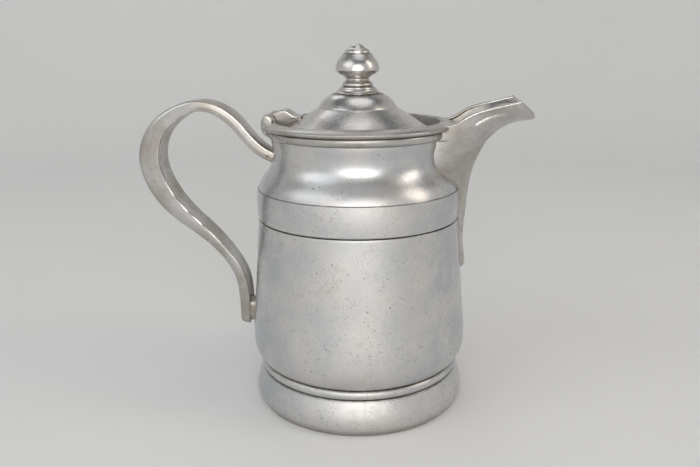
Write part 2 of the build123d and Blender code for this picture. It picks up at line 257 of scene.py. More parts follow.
def between(first, last, shares):
    """A point at two shares of the way, across and up, from one point to another."""
    across, up = shares
    return (first[0] + (last[0] - first[0]) * across, first[1] + (last[1] - first[1]) * up)


# Meshes

def dented(point, depth):
    """A point of worn, hand-finished sheet, a little in or out of true."""
    x, y, z = point
    away = Vector((x, y, 0))
    if away.length < 1:
        return point
    where = Vector(point)
    swell = noise.noise(where / 26) * depth + noise.noise(where / 9) * depth * 0.28
    away.normalize()
    return (x + away.x * swell, y + away.y * swell, z)


def placed(name, verts, faces):
    """An object of the scene from points in millimetres."""
    mesh = bpy.data.meshes.new(name)
    mesh.from_pydata([tuple(value * mm for value in vert) for vert in verts], [], faces)
    made = bpy.data.objects.new(name, mesh)
    bpy.context.collection.objects.link(made)
    return made


def piece(name, verts, faces, body, finish, replaces=(), corner=sharp_angle):
    """One smooth-shaded mesh that rides on a body."""
    made = placed(name, verts, faces)
    made.data.validate()
    made.data.shade_smooth()
    made.data.set_sharp_from_angle(angle=radians(corner))
    made.data.materials.append(finishes[finish])
    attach(made, body)
    if replaces:
        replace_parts(made, *replaces)
    return made


def turned(outline, closed, dents, around=256):
    """Vertices and faces of an outline turned about the pot's axis."""
    verts = []
    rows = []
    for radius, height in outline:
        if radius < 0.01:
            rows.append([len(verts)] * around)
            verts.append((0, 0, height))
            continue
        rows.append(list(range(len(verts), len(verts) + around)))
        for i in range(around):
            angle = 2 * pi * i / around
            verts.append(dented((radius * cos(angle), radius * sin(angle), height), dents))
    pairs = list(zip(rows, rows[1:]))
    if closed:
        pairs.append((rows[-1], rows[0]))
    faces = []
    for low, high in pairs:
        for i in range(around):
            j = (i + 1) % around
            corners = [low[i], low[j], high[j], high[i]]
            face = [corner for k, corner in enumerate(corners) if corner != corners[k - 1]]
            if len(face) > 2:
                faces.append(face)
    return verts, faces


def strips(rows, closed_rows=False, caps=False):
    """Faces between rows of vertices that all have the same length."""
    width = len(rows[0])
    verts = [vert for row in rows for vert in row]
    faces = []
    for i in range(len(rows) - 1):
        for j in range(width if closed_rows else width - 1):
            k = (j + 1) % width
            faces.append((i * width + j, i * width + k, (i + 1) * width + k, (i + 1) * width + j))
    if caps:
        faces.append(tuple(reversed(range(width))))
        faces.append(tuple(range(len(verts) - width, len(verts))))
    return verts, faces


def slab(outline, low, high, edge, dome=0.0):
    """A flat piece of an outline in the XZ plane, between two Y values, with rounded edges."""
    count = len(outline)
    middle = np.mean(outline, axis=0)
    rows = []
    steps = [(low + edge * (1 - cos(a)), edge * (1 - sin(a))) for a in np.linspace(0, pi / 2, 6)]
    steps += [(high - edge * (1 - cos(a)), edge * (1 - sin(a))) for a in np.linspace(pi / 2, 0, 6)]
    for y, inset in steps:
        row = []
        for i, (x, z) in enumerate(outline):
            ax, az = outline[i - 1]
            bx, bz = outline[(i + 1) % count]
            length = hypot(bx - ax, bz - az)
            row.append((x - (bz - az) / length * inset, y, z + (bx - ax) / length * inset))
        rows.append(row)
    for end, side in ((0, -1), (-1, 1)):
        edge_row = rows[end]
        inner = []
        for share in (0.75, 0.5, 0.25):
            ring = []
            for x, y, z in edge_row:
                ring.append((middle[0] + (x - middle[0]) * share, y + side * dome * (1 - share ** 2),
                             middle[1] + (z - middle[1]) * share))
            inner.append(ring)
        rows = rows + inner if end else inner[::-1] + rows
    return strips(rows, closed_rows=True, caps=True)


# Materials

class Shader:
    """A node tree with short calls for the nodes that the finishes use."""

    def __init__(self, name):
        self.material = bpy.data.materials.new(name)
        self.material.use_nodes = True
        self.tree = self.material.node_tree
        self.tree.nodes.clear()
        self.output = self.node("ShaderNodeOutputMaterial")
        self.place = self.node("ShaderNodeTexCoord").outputs["Object"]

    def node(self, kind, **settings):
        made = self.tree.nodes.new(kind)
        for key, value in settings.items():
            setattr(made, key, value)
        return made

    def feed(self, socket, value):
        """Links a socket to an output, or sets it to a plain value."""
        if isinstance(value, bpy.types.NodeSocket):
            self.tree.links.new(value, socket)
        else:
            socket.default_value = value

    def math(self, kind, first, second=0.0, clamp=False):
        made = self.node("ShaderNodeMath", operation=kind, use_clamp=clamp)
        self.feed(made.inputs[0], first)
        self.feed(made.inputs[1], second)
        return made.outputs[0]

    def stretch(self, scale, turn=(0, 0, 0)):
        """Object coordinates, turned and then scaled along each axis."""
        made = self.node("ShaderNodeMapping")
        self.feed(made.inputs["Vector"], self.place)
        made.inputs["Rotation"].default_value = [radians(angle) for angle in turn]
        made.inputs["Scale"].default_value = scale
        return made.outputs[0]

    def noise(self, size, detail=3.0, rough=0.5, place=None):
        """Noise whose spots are about size across, from 0 to 1 around 0.5."""
        made = self.node("ShaderNodeTexNoise")
        self.feed(made.inputs["Vector"], place or self.place)
        made.inputs["Scale"].default_value = 1 / size
        made.inputs["Detail"].default_value = detail
        made.inputs["Roughness"].default_value = rough
        return made.outputs["Fac"]

    def ramp(self, value, low, high, out_low=0.0, out_high=1.0, smooth=True):
        made = self.node("ShaderNodeMapRange", interpolation_type="SMOOTHSTEP" if smooth else "LINEAR")
        self.feed(made.inputs["Value"], value)
        made.inputs["From Min"].default_value = low
        made.inputs["From Max"].default_value = high
        made.inputs["To Min"].default_value = out_low
        made.inputs["To Max"].default_value = out_high
        return made.outputs["Result"]

    def mix(self, share, first, second):
        made = self.node("ShaderNodeMix", data_type="RGBA")
        self.feed(made.inputs[0], share)
        self.feed(made.inputs[6], first)
        self.feed(made.inputs[7], second)
        return made.outputs[2]

    def bump(self, height, distance, strength=1.0, normal=None):
        made = self.node("ShaderNodeBump")
        made.inputs["Strength"].default_value = strength
        made.inputs["Distance"].default_value = distance
        self.feed(made.inputs["Height"], height)
        if normal:
            self.feed(made.inputs["Normal"], normal)
        return made.outputs["Normal"]

    def axes(self):
        made = self.node("ShaderNodeSeparateXYZ")
        self.feed(made.inputs[0], self.place)
        return made.outputs

    def radius(self):
        """Distance from the pot's axis."""
        x, y, z = self.axes()
        flat = self.math("ADD", self.math("MULTIPLY", x, x), self.math("MULTIPLY", y, y))
        return self.math("SQRT", flat)

    def near(self, value, middle, reach):
        """One at a value, falling to nothing at a reach either side of it."""
        away = self.math("ABSOLUTE", self.math("SUBTRACT", value, middle))
        return self.ramp(away, 0.0, reach, 1.0, 0.0)

    def most(self, *values):
        made = values[0]
        for value in values[1:]:
            made = self.math("MAXIMUM", made, value)
        return made

    def pits(self, size, share):
        """Scattered round pits, of which a share of the cells has one."""
        cell = self.node("ShaderNodeTexVoronoi", feature="F1")
        self.feed(cell.inputs["Vector"], self.place)
        cell.inputs["Scale"].default_value = 1 / size
        chosen = self.node("ShaderNodeSeparateColor")
        self.feed(chosen.inputs[0], cell.outputs["Color"])
        is_pit = self.math("LESS_THAN", chosen.outputs[0], share)
        width = self.ramp(chosen.outputs[1], 0.0, 1.0, 0.14, 0.46, smooth=False)
        depth = self.ramp(self.math("DIVIDE", cell.outputs["Distance"], width), 0.35, 1.0, 1.0, 0.0)
        return self.math("MULTIPLY", is_pit, depth)


def silver(name, bright, worn, patina_and_shade, smooth, rough, pitting, rings, grooves=(), ring_only=False):
    """Worn silver plate: soft polish, a rubbed and pitted front that on the body is also painted lighter as a
    painted highlight, fine scratches, and brown patina mixed with painted shade in hollows, grooves and
    beside the lid.
    """
    s = Shader(name)
    x, y, z = s.axes()
    cloud = s.noise(0.016, detail=4, rough=0.55)
    fine_cloud = s.noise(0.0026, detail=5, rough=0.7)
    grain = s.noise(0.00045, detail=2)

    front = s.ramp(s.math("ADD", y, s.math("MULTIPLY", cloud, 0.014)), -0.024, -0.041)
    spread = s.math("MULTIPLY", s.ramp(s.noise(0.011, detail=4), 0.38, 0.68), s.math("ADD", front, 0.12))
    pit = s.most(s.pits(0.0007, s.math("MULTIPLY", spread, pitting)),
                 s.pits(0.0013, s.math("MULTIPLY", spread, pitting * 0.2)))

    scratches = s.most(
        s.ramp(s.noise(1.0, detail=2, place=s.stretch((90, 2600, 340), (12, 28, 35))), 0.71, 0.76),
        s.ramp(s.noise(1.0, detail=2, place=s.stretch((2300, 110, 260), (-30, 8, -20))), 0.72, 0.77),
        s.ramp(s.noise(1.0, detail=2, place=s.stretch((60, 300, 3000), (4, -8, 0))), 0.70, 0.76),
    )

    ring_place = s.node("ShaderNodeCombineXYZ")
    s.feed(ring_place.inputs[0], s.radius())
    s.feed(ring_place.inputs[2], z)
    ring = s.noise(0.0008, detail=3, place=ring_place.outputs[0])

    colour = s.mix(s.ramp(cloud, 0.35, 0.68), bright, worn)
    # Front patch colour: real rubbed, pitted wear, and on the body a lighter colour that is a painted
    # highlight of the bright centre reflection.
    colour = s.mix(s.math("MULTIPLY", front, s.ramp(fine_cloud, 0.3, 0.7, 0.25, 0.75)), colour, worn)
    mottle = s.math("ADD", s.math("MULTIPLY", cloud, 0.7), s.math("MULTIPLY", fine_cloud, 0.6))
    stain = s.ramp(mottle, 0.66, 0.9)
    colour = s.mix(s.math("MULTIPLY", stain, 0.25), colour, patina_and_shade)
    # Ambient occlusion darkens hollows, creases and joints towards brown: partly real patina, partly painted
    # shade that falls in them.
    hollow = s.node("ShaderNodeAmbientOcclusion", samples=6)
    hollow.inputs["Distance"].default_value = 0.006
    hidden = s.ramp(hollow.outputs["AO"], 0.30, 0.92, 0.75, 0.0)
    colour = s.mix(s.math("MULTIPLY", hidden, s.ramp(fine_cloud, 0.2, 0.7, 0.7, 1.0)), colour, patina_and_shade)
    # Darker brown near the listed groove heights: partly patina caught in the grooves, partly painted shade
    # in them; the pits use the same dark brown.
    dark_patina_and_shade = [channel * 0.4 for channel in patina_and_shade[:3]] + [1]
    groove_patina_and_shade = [s.near(z, height, reach) for height, reach in grooves]
    if groove_patina_and_shade:
        groove_and_rim_darkening = s.math("MULTIPLY", s.most(*groove_patina_and_shade), s.ramp(fine_cloud, 0.25, 0.6, 0.45, 0.95))
        if ring_only:
            groove_and_rim_darkening = s.math("MULTIPLY", groove_and_rim_darkening, s.near(s.radius(), 0.0400, 0.0040))
            # On the rim, a dark ring at the inner lip next to the lid: painted shade of the narrow space
            # between rim and lid.
            rim_gap_shade = s.math("MULTIPLY", s.near(s.radius(), 0.0372, 0.0011), s.ramp(z, 0.1282, 0.1286))
            rim_gap_shade = s.math("MULTIPLY", rim_gap_shade, s.ramp(s.noise(0.0013, detail=3), 0.42, 0.52))
            groove_and_rim_darkening = s.most(groove_and_rim_darkening, rim_gap_shade)
        colour = s.mix(s.math("MULTIPLY", groove_and_rim_darkening, 0.85), colour, dark_patina_and_shade)
    colour = s.mix(s.math("MULTIPLY", pit, 0.6), colour, dark_patina_and_shade)

    dull = s.ramp(cloud, 0.3, 0.7, smooth, rough, smooth=False)
    dull = s.math("ADD", dull, s.math("MULTIPLY", front, 0.22))
    dull = s.math("ADD", dull, s.math("MULTIPLY", s.math("SUBTRACT", fine_cloud, 0.5), 0.14))
    dull = s.math("ADD", dull, s.math("MULTIPLY", s.most(pit, scratches), 0.15), clamp=True)

    normal = s.bump(s.noise(0.018, detail=1), 0.0009, 0.16)
    normal = s.bump(fine_cloud, 0.00030, 0.22, normal)
    if rings:
        normal = s.bump(ring, 0.00010, rings, normal)
    normal = s.bump(grain, 0.00007, 0.35, normal)
    normal = s.bump(scratches, 0.00006, -0.6, normal)
    normal = s.bump(pit, 0.00030, -0.8, normal)

    surface = s.node("ShaderNodeBsdfPrincipled")
    surface.inputs["Metallic"].default_value = 1.0
    s.feed(surface.inputs["Base Color"], colour)
    s.feed(surface.inputs["Roughness"], dull)
    s.feed(surface.inputs["Normal"], normal)
    s.feed(s.output.inputs["Surface"], surface.outputs[0])
    return s.material


def plain_metal(name, bright, dark, rough):
    s = Shader(name)
    cloud = s.noise(0.003, detail=4, rough=0.6)
    surface = s.node("ShaderNodeBsdfPrincipled")
    surface.inputs["Metallic"].default_value = 1.0
    s.feed(surface.inputs["Base Color"], s.mix(s.ramp(cloud, 0.35, 0.7), bright, dark))
    s.feed(surface.inputs["Roughness"], s.ramp(cloud, 0.3, 0.7, rough, rough + 0.15))
    s.feed(surface.inputs["Normal"], s.bump(s.noise(0.0008), 0.0001, 0.3))
    s.feed(s.output.inputs["Surface"], surface.outputs[0])
    return s.material


# Brown of patina, also used for painted shade in hollows, grooves and beside the lid.
brown = (0.27, 0.24, 0.205, 1)
# Heights and reaches where the body is darkened: patina and painted shade in its grooves, including the
# contact lines at the foot.
body_grooves = ((0.0160, 0.0012), (0.0205, 0.0012), (seam_height * mm, 0.0007), (band_top * mm, 0.0004))
finishes = {
    "silver_body": silver("silver_body", (0.52, 0.535, 0.56, 1), (0.68, 0.665, 0.645, 1), brown,
                          0.22, 0.32, 0.95, 0.10, body_grooves),
    "silver_cast": silver("silver_cast", (0.56, 0.55, 0.54, 1), (0.42, 0.39, 0.35, 1), brown,
                          0.22, 0.34, 0.55, 0.0, ((0.1257, 0.0008), (0.1220, 0.0006)), True),
    "silver_lid": silver("silver_lid", (0.66, 0.65, 0.64, 1), (0.55, 0.52, 0.48, 1), brown,
                         0.22, 0.33, 0.35, 0.10, ((lid_top * mm, 0.0007), (cap_top * mm, 0.0005))),
    "silver_inside": silver("silver_inside", (0.64, 0.64, 0.64, 1), (0.50, 0.48, 0.45, 1), brown,
                            0.34, 0.46, 0.2, 0.15),
    "pin_steel": plain_metal("pin_steel", (0.55, 0.54, 0.52, 1), (0.35, 0.33, 0.30, 1), 0.35),
    "brass": plain_metal("brass", (0.71, 0.58, 0.32, 1), (0.42, 0.32, 0.16, 1), 0.32),
}


# Solids that show as they are

slots = {part["node"]: part["material_slot"] for part in frame["record"]["subparts"]}
for node_name, solid in nodes.items():
    solid.data.materials.clear()
    solid.data.materials.append(finishes[slots[node_name]])


# The pot's outlines

def foot_side():
    widest = (foot_radius, foot_widest_height)
    top = (foot_top_radius, foot_height)
    return flow([(foot_base_radius, 0), (foot_radius - 0.4, foot_widest_height * 0.38), widest,
                 between(widest, top, (0.38, 0.5)), top], step=0.7)


def bowl_side():
    base = (bowl_base_radius, bowl_bottom)
    belly = (belly_radius, belly_height)
    top = (bowl_top_radius, seam_height)
    corner = flow([base, between(base, belly, (0.69, 0.34)), belly], start=(1, 0.5), end=(0, 1))
    side = flow([belly, between(belly, top, (0.28, 0.29)), between(belly, top, (0.70, 0.67)), top],
                start=(0, 1), end=(-0.05, 1), step=0.9)
    return joined(corner, side)


def band_side():
    return flow([(bowl_top_radius, seam_height), (band_radius, band_widest_height),
                 (band_radius - band_inset, band_top)], step=0.6)


def shoulder_side():
    foot = (band_radius - band_inset - band_drop, band_top)
    neck = (neck_radius, neck_height)
    return flow([foot, between(foot, neck, (0.27, 0.245)), between(foot, neck, (0.70, 0.477)),
                 between(foot, neck, (0.94, 0.675)), neck, (mouth_radius, mouth_bottom)],
                start=(-0.25, 1), end=(0, 1), step=0.6)


pot_side = joined(bowl_side(), band_side(), shoulder_side(), [(mouth_radius, mouth_height)])


def pot_radius(height):
    """Outside radius of bowl, band, shoulder or neck at a height."""
    heights = [point[1] for point in pot_side]
    return float(np.interp(height, heights, [point[0] for point in pot_side]))


# Turned pieces

def foot_ring():
    outside = softened(foot_side(), 0.5)
    shelf_radius = foot_top_radius - foot_shelf
    under = inward(outside[3:-3], wall)[::-1]
    rest = straight((foot_top_radius, foot_height), (shelf_radius, foot_height),
                    (shelf_radius, foot_height - wall), (foot_top_radius - wall, foot_height - wall))
    hem = straight((foot_base_radius - wall, wall), (foot_base_radius - foot_hem, wall),
                   (foot_base_radius - foot_hem, 0), (foot_base_radius - 0.5, 0))
    outline = joined([(foot_base_radius - 0.1, 0.15)], outside[1:], rest, under, hem)
    return piece("foot_skin", *turned(softened(outline, 0.35, closed=True), True, 0.05), "pot", "silver_body",
                 ["foot_ring"])


def foot_bead():
    outside = bow((bead_edge_radius, foot_height), (bead_edge_radius + 1.2, (foot_height + bowl_bottom) / 2),
                  (bead_edge_radius, bowl_bottom))
    outline = joined(outside, [(bead_inner_radius, bowl_bottom), (bead_inner_radius, foot_height)])
    return piece("bead_skin", *turned(outline, True, 0.05), "pot", "silver_body", ["foot_bead"])


def lower_body():
    outside = [point for point in bowl_side() if point[1] < seam_height - seam_width * 1.2]
    lip = [(bowl_top_radius - 0.02, seam_height - seam_width),
           (bowl_top_radius - 0.12, seam_height - seam_width * 0.5),
           (bowl_top_radius - seam_depth, seam_height - 0.08),
           (bowl_top_radius - wall, seam_height - 0.05)]
    floor = bow((0, bowl_bottom + floor_rise), (bead_inner_radius * 0.55, bowl_bottom + floor_rise * 0.7),
                (bead_inner_radius, bowl_bottom), step=2)
    inside = inward(outside[4:], wall)[::-1]
    inner_floor = [(x, z + wall) for x, z in reversed(floor)]
    outline = joined(floor, outside, lip, inside, inner_floor)
    return piece("bowl_skin", *turned(outline, False, 0.10), "pot", "silver_body", ["lower_body"])


def upper_body():
    band = softened(joined(band_side(), shoulder_side()), 0.35)
    start = [(bowl_top_radius - seam_depth, seam_height + 0.05),
             (bowl_top_radius - 0.12, seam_height + seam_width * 0.5)]
    outside = start + [point for point in band if point[1] > seam_height + seam_width]
    mouth = straight((mouth_radius, mouth_bottom), (mouth_radius, mouth_height),
                     (mouth_radius - wall, mouth_height))
    inner = [point for point in inward(band_side(), wall)
             if seam_height + lap_rise < point[1] < band_top - 1.5]
    inner += [point for point in inward(shoulder_side(), wall) if point[1] > band_top + 1.5]
    sleeve_radius = bowl_top_radius - wall - solder_gap
    sleeve = straight((sleeve_radius - wall, seam_height + lap_rise),
                      (sleeve_radius - wall, seam_height - lap_length),
                      (sleeve_radius, seam_height - lap_length), (sleeve_radius, seam_height), outside[0])
    outline = joined(outside, mouth, inner[::-1], sleeve[:-1])
    made = piece("shoulder_skin", *turned(outline, True, 0.08, around=320), "pot", "silver_body",
                 ["upper_body"])
    cut(made, trough_cutter(), notch_cutter())
    return made


def pitted(verts, depth, grain, share, seed):
    """The same points, with broken pits eaten into them."""
    made = []
    for vert in verts:
        where = Vector(vert)
        spot = noise.noise(where / grain + Vector((seed, 0, 0)))
        patch = noise.noise(where / (grain * 7) + Vector((0, seed, 0)))
        bite = max(0.0, spot + patch * 0.6 - share) * depth
        away = Vector((where.x, where.y, 0)).normalized()
        made.append(tuple(where - away * bite * 0.8 - Vector((0, 0, bite * 0.5))))
    return made


def rim_moulding():
    inner = mouth_radius + solder_gap
    roll_low = rim_top - rim_roll_height
    crease_radius = mouth_radius + rim_bead_overhang * 0.75
    bead = bow((inner, mouth_bottom), (mouth_radius + rim_bead_overhang, (mouth_bottom + roll_low) / 2),
               (crease_radius, roll_low), step=0.22)
    roll = flow([(crease_radius, roll_low), (rim_radius - 0.6, roll_low + 0.5), (rim_radius, roll_low + 1.4),
                 (rim_radius - 1.1, roll_low + 2.3), (mouth_radius + 1.2, rim_top - 0.35),
                 (mouth_radius - wall, rim_top)], step=0.22)
    lip = bow((mouth_radius - wall, rim_top), (rim_lip_radius + 0.3, rim_top - 0.25),
              (rim_lip_radius, rim_top - 0.7), step=0.2)
    close = [(rim_lip_radius, mouth_height), (inner, mouth_height)]
    verts, faces = turned(joined(bead, roll, lip, close), True, 0.06, around=900)
    verts = pitted(verts, 0.55, 1.1, 0.52, 4.0)
    made = piece("rim_skin", verts, faces, "pot", "silver_cast", ["rim_moulding"], corner=60)
    cut(made, spout_cutter(), notch_cutter())
    return made


def lid_dome():
    brim_top = lid_edge_height + lid_edge_thickness
    edge = (lid_radius, brim_top)
    tier = (lid_tier_radius, brim_top + lid_tier_rise)
    foot = (lid_tier_radius - lid_tier_gap / 2, tier[1] + lid_tier_gap)
    top = (lid_top_radius, lid_top)
    lower = flow([edge, between(edge, tier, (0.3, 0.21)), between(edge, tier, (0.64, 0.6)), tier], step=0.6)
    upper = flow([foot, between(foot, top, (0.15, 0.24)), between(foot, top, (0.62, 0.76)), top], step=0.6)
    outside = joined([(lid_radius, lid_edge_height)], lower, upper)
    crown = straight(top, (knob_base_radius - 2, lid_top), (0, lid_top), step=3)
    under = joined(inward(lower[3:], lid_wall), inward(upper[2:], lid_wall))[::-1]
    low = straight((0, lid_top - lid_wall), (lid_top_radius - 1.5, lid_top - lid_wall), step=3)
    close = [(lid_radius - 3.5, lid_edge_height)]
    over = softened(joined(outside, crown), 0.3)[:-1] + [(0, lid_top)]
    verts, faces = turned(over, False, 0.08)
    under_verts, under_faces = turned(joined(low, under, close, [(lid_radius, lid_edge_height)]), False, 0.08)
    count = len(verts)
    verts += under_verts
    faces += [[corner + count for corner in face] for face in under_faces]
    return piece("lid_skin", verts, faces, "lid", "silver_lid", ["lid_dome"])


def finial_base():
    z = lid_top
    outline = [(0, z), (knob_base_radius, z), (knob_base_radius, z + 0.5)]
    outline += bow((knob_base_radius, z + 0.5), (knob_base_radius - 1.0, z + 1.2),
                   (knob_base_radius - 1.4, z + 2.0))[1:]
    outline += [(knob_base_radius - 2.0, z + 2.0), (knob_base_radius - 2.2, z + 2.8),
                (knob_bead_radius - 0.5, z + 3.0)]
    outline += bow((knob_bead_radius - 0.5, z + 3.0), (knob_bead_radius, z + 3.9),
                   (knob_bead_radius - 0.6, z + 4.7), step=0.25)[1:]
    outline += flow([(knob_bead_radius - 0.6, z + 4.7), (knob_neck_radius, z + knob_neck_rise),
                     (knob_neck_radius + 1.6, cap_bottom)], step=0.3)[1:]
    outline += [(0, cap_bottom)]
    return piece("knob_skirt_skin", *turned(softened(outline, 0.22), False, 0.03, around=160), "lid",
                 "silver_lid", ["finial_base"])


def finial_cap():
    z = cap_bottom
    outline = [(0, z)]
    outline += flow([(knob_neck_radius + 1.6, z), (cap_radius - 1.0, z + 1.0), (cap_radius, z + 2.1)],
                    step=0.3)
    outline += flow([(cap_radius, z + 2.1), (cap_radius - 0.5, z + 4.8), (cap_radius - 1.6, z + 6.8),
                     (cap_top_radius, cap_top)], step=0.4)[1:]
    outline += [(0, cap_top)]
    return piece("knob_cap_skin", *turned(softened(outline, 0.35), False, 0.04, around=160), "lid",
                 "silver_lid", ["finial_cap"])


def finial_stud():
    z = cap_top
    outline = [(0, z - button_sink), (button_radius, z - button_sink), (button_radius, z),
               (button_radius - 0.1, z + 0.9)]
    outline += bow((button_radius - 0.1, z + 0.9), (button_radius - 0.9, z + 1.8),
                   (button_radius - 2.2, z + 2.3), step=0.25)[1:]
    outline += bow((button_radius - 2.2, z + 2.3), (button_radius / 2 - 0.9, button_top - 0.48),
                   (0, button_top), step=0.3)[1:]
    return piece("knob_button_skin", *turned(softened(outline, 0.3), False, 0.03, around=128), "lid",
                 "silver_lid")


# The spout

spout_lean = (-0.76, 0.65)
spout_depths = (3.0, 7.5, 13.0)
spout_swell = 0.3
spout_reach_in = 30.0
spout_wall = 1.1
spout_tail = (
    ((-1.6, 75.9), (1.0, 2.4, 4.0)),
    ((1.2, 64.9), (1.5, 3.4, 5.2)),
    ((2.55, 54.9), (2.2, 4.6, 7.0)),
    ((3.0, 41.9), (2.6, 5.6, 9.0)),
)
spout_channel = (
    ((3.9, 31.4), (2.9, 6.9, 13.0)),
    ((5.7, 21.4), (4.6, 10.4, 14.6)),
    ((8.6, 13.9), (6.4, 12.2, 14.9)),
    ((13.9, 5.5), (7.6, 12.9, 14.9)),
    ((21.8, 0.7), (8.0, 13.1, 14.8)),
    ((31.5, -1.6), (8.2, 13.0, 14.7)),
)
spout_top_edge = ((-6.2, 1.2), (-3.2, 0.6), (2.8, -2.9), (10.8, -5.7), (23.3, -8.6), (34.8, -10.7))
spout_bead_size = 0.8
lip_bead_size = 0.6
panel_rows = 120
panel_points = 40
panel_height = 0.55
panel_thickness = 0.5


def spout_half(widths, depth):
    """One side of a spout section, from its keel back into the pot, drawn in by a depth."""
    side = [(0, 0)] + list(zip(spout_depths, widths))
    side += [(spout_reach_in * 0.67, widths[-1] + spout_swell), (spout_reach_in, widths[-1])]
    whole = [(x, -y) for x, y in reversed(side)] + side[1:]
    run = flow(whole, step=0.35)
    run = run[len(run) // 2:]
    made = []
    for i, (x, y) in enumerate(run):
        ax, ay = run[i - 1] if i else (x, -run[1][1])
        bx, by = run[min(i + 1, len(run) - 1)]
        length = hypot(bx - ax, by - ay)
        made.append((x + (by - ay) / length * depth, y - (bx - ax) / length * depth))
    made[0] = (made[0][0], 0.0)
    return made


def spout_rows(sections, depth, count):
    """Rows of section halves along the spout, as points in space from keel to pot."""
    knots = [(*keel, *widths) for keel, widths in sections]
    fine = flow(knots, step=0.4)
    picks = np.linspace(0, len(fine) - 1, count)
    rows = []
    for pick in picks:
        low = int(pick)
        high = min(low + 1, len(fine) - 1)
        knot = np.array(fine[low]) * (1 - pick + low) + np.array(fine[high]) * (pick - low)
        keel_x = bowl_top_radius + knot[0]
        keel_z = rim_top - knot[1]
        row = []
        for back, wide in spout_half(knot[2:], depth):
            row.append((keel_x + spout_lean[0] * back, wide, keel_z + spout_lean[1] * back))
        rows.append(row)
    return rows


def resampled(row, count, first=0.0, last=1.0):
    """A row of points spaced evenly between two shares of its length."""
    points = np.array(row)
    lengths = np.concatenate([[0], np.cumsum(np.linalg.norm(np.diff(points, axis=0), axis=1))])
    wanted = np.linspace(first * lengths[-1], last * lengths[-1], count)
    return np.stack([np.interp(wanted, lengths, points[:, k]) for k in range(3)], axis=1)


def loft_cutter(name, sections, depth, past):
    """A closed solid between spout sections, drawn in by a depth and made longer at its lip."""
    rows = [resampled(row, 60) for row in spout_rows(sections, depth, 46)]
    ahead = np.array([spout_lean[1], 0, -spout_lean[0]])
    rows.append(rows[-1] + ahead * past)
    full = [[tuple(point) for point in np.concatenate([row[::-1], row[1:] * [1, -1, 1]])] for row in rows]
    return placed(name, *strips(full, closed_rows=True, caps=True))


def trough_cutter():
    return loft_cutter("trough_cutter", spout_channel, spout_wall, 4.0)


def spout_cutter():
    return loft_cutter("spout_cutter", spout_tail + spout_channel, 0.0, 0.0)


def notch_cutter():
    """Room for the hinge in the rim and the mouth."""
    low = ear_centre - ear_height / 2
    corners = [(x, y, z) for x in (-rim_radius - 5, -lid_radius + 0.6)
               for y in (-notch_half_width, notch_half_width) for z in (low, rim_top + 5)]
    faces = [(0, 1, 3, 2), (4, 6, 7, 5), (0, 4, 5, 1), (2, 3, 7, 6), (0, 2, 6, 4), (1, 5, 7, 3)]
    return placed("notch_cutter", corners, faces)


def cut(made, *cutters):
    """Takes closed solids away from a piece for good, and deletes them."""
    for cutter in cutters:
        modifier = made.modifiers.new("cut", "BOOLEAN")
        modifier.operation = "DIFFERENCE"
        modifier.solver = "EXACT"
        modifier.object = cutter
    bpy.context.view_layer.update()
    shaped = bpy.data.meshes.new_from_object(made.evaluated_get(bpy.context.evaluated_depsgraph_get()))
    made.modifiers.clear()
    old = made.data
    made.data = shaped
    bpy.data.meshes.remove(old)
    shaped.shade_smooth()
    shaped.set_sharp_from_angle(angle=radians(sharp_angle))
    for cutter in cutters:
        bpy.data.objects.remove(cutter)


def spout_edge_height(x):
    """Height of the spout's top edge at a distance along it."""
    return float(np.interp(x, [point[0] for point in top_edge], [point[1] for point in top_edge]))


def is_open(point):
    """True where a point of the spout's skin is in the open air."""
    x, y, z = point
    if z > spout_edge_height(x):
        return False
    return hypot(x, y) > pot_radius(min(z, mouth_height)) - 0.5


def shown_share(row):
    """Share of a row's length, from the keel, that is in the open air."""
    points = resampled(row, 240)
    for i, point in enumerate(points):
        if not is_open(point):
            return max(i - 1, 0) / 239
    return 1.0


def spout_panel():
    """Raised panel of the spout, from a crease below each top edge down round the keel."""
    outer = spout_rows(spout_tail + spout_channel, 0.0, panel_rows)
    proud = spout_rows(spout_tail + spout_channel, -1.0, panel_rows)
    rows = []
    back_rows = []
    for i, (low, high) in enumerate(zip(outer, proud)):
        share = shown_share(low)
        line = resampled(low, panel_points, 0, share)
        ahead = resampled(high, panel_points, 0, share)
        away = ahead - line
        away /= np.linalg.norm(away, axis=1)[:, None]
        lengths = np.concatenate([[0], np.cumsum(np.linalg.norm(np.diff(line, axis=0), axis=1))])
        whole = max(lengths[-1], 0.1)
        x = line[-1][0]
        free = x > bowl_top_radius + 1.5 and line[-1][2] > rim_top - 1
        crease = 3.9 - 0.9 * (x - 52) / 25 if free else 0.0
        from_edge = whole - lengths
        fade = np.clip((line[0][0] - 46.5) / 6, 0, 1) if i > 20 else 0
        if free:
            rise = panel_height * fade * np.clip((from_edge - crease) / 0.9, -1.2, 1)
        else:
            rise = np.full(panel_points, -0.2)
        keel_fade = np.clip(lengths / 3.0, 0.15, 1)
        lip_fade = np.clip((panel_rows - 2 - i) / 6, 0, 1)
        rise = np.where(rise > 0, rise * keel_fade, rise) * lip_fade
        if not free or i > panel_rows - 3:
            rise = rise - 0.15
        made = line + away * rise[:, None]
        back = line - away * panel_thickness
        rows.append(made)
        back_rows.append(back)
    for row, back in zip(rows, back_rows):
        row[0][1] = 0.0
        back[0][1] = 0.0
    loops = []
    for row, back in zip(rows, back_rows):
        mirror = row[1:] * [1, -1, 1]
        back_mirror = back[1:] * [1, -1, 1]
        loops.append([tuple(p) for p in np.concatenate([row[::-1], mirror, back_mirror[::-1], back])])
    piece("spout_panel", *strips(loops, closed_rows=True, caps=True), "pot", "silver_cast", corner=50)


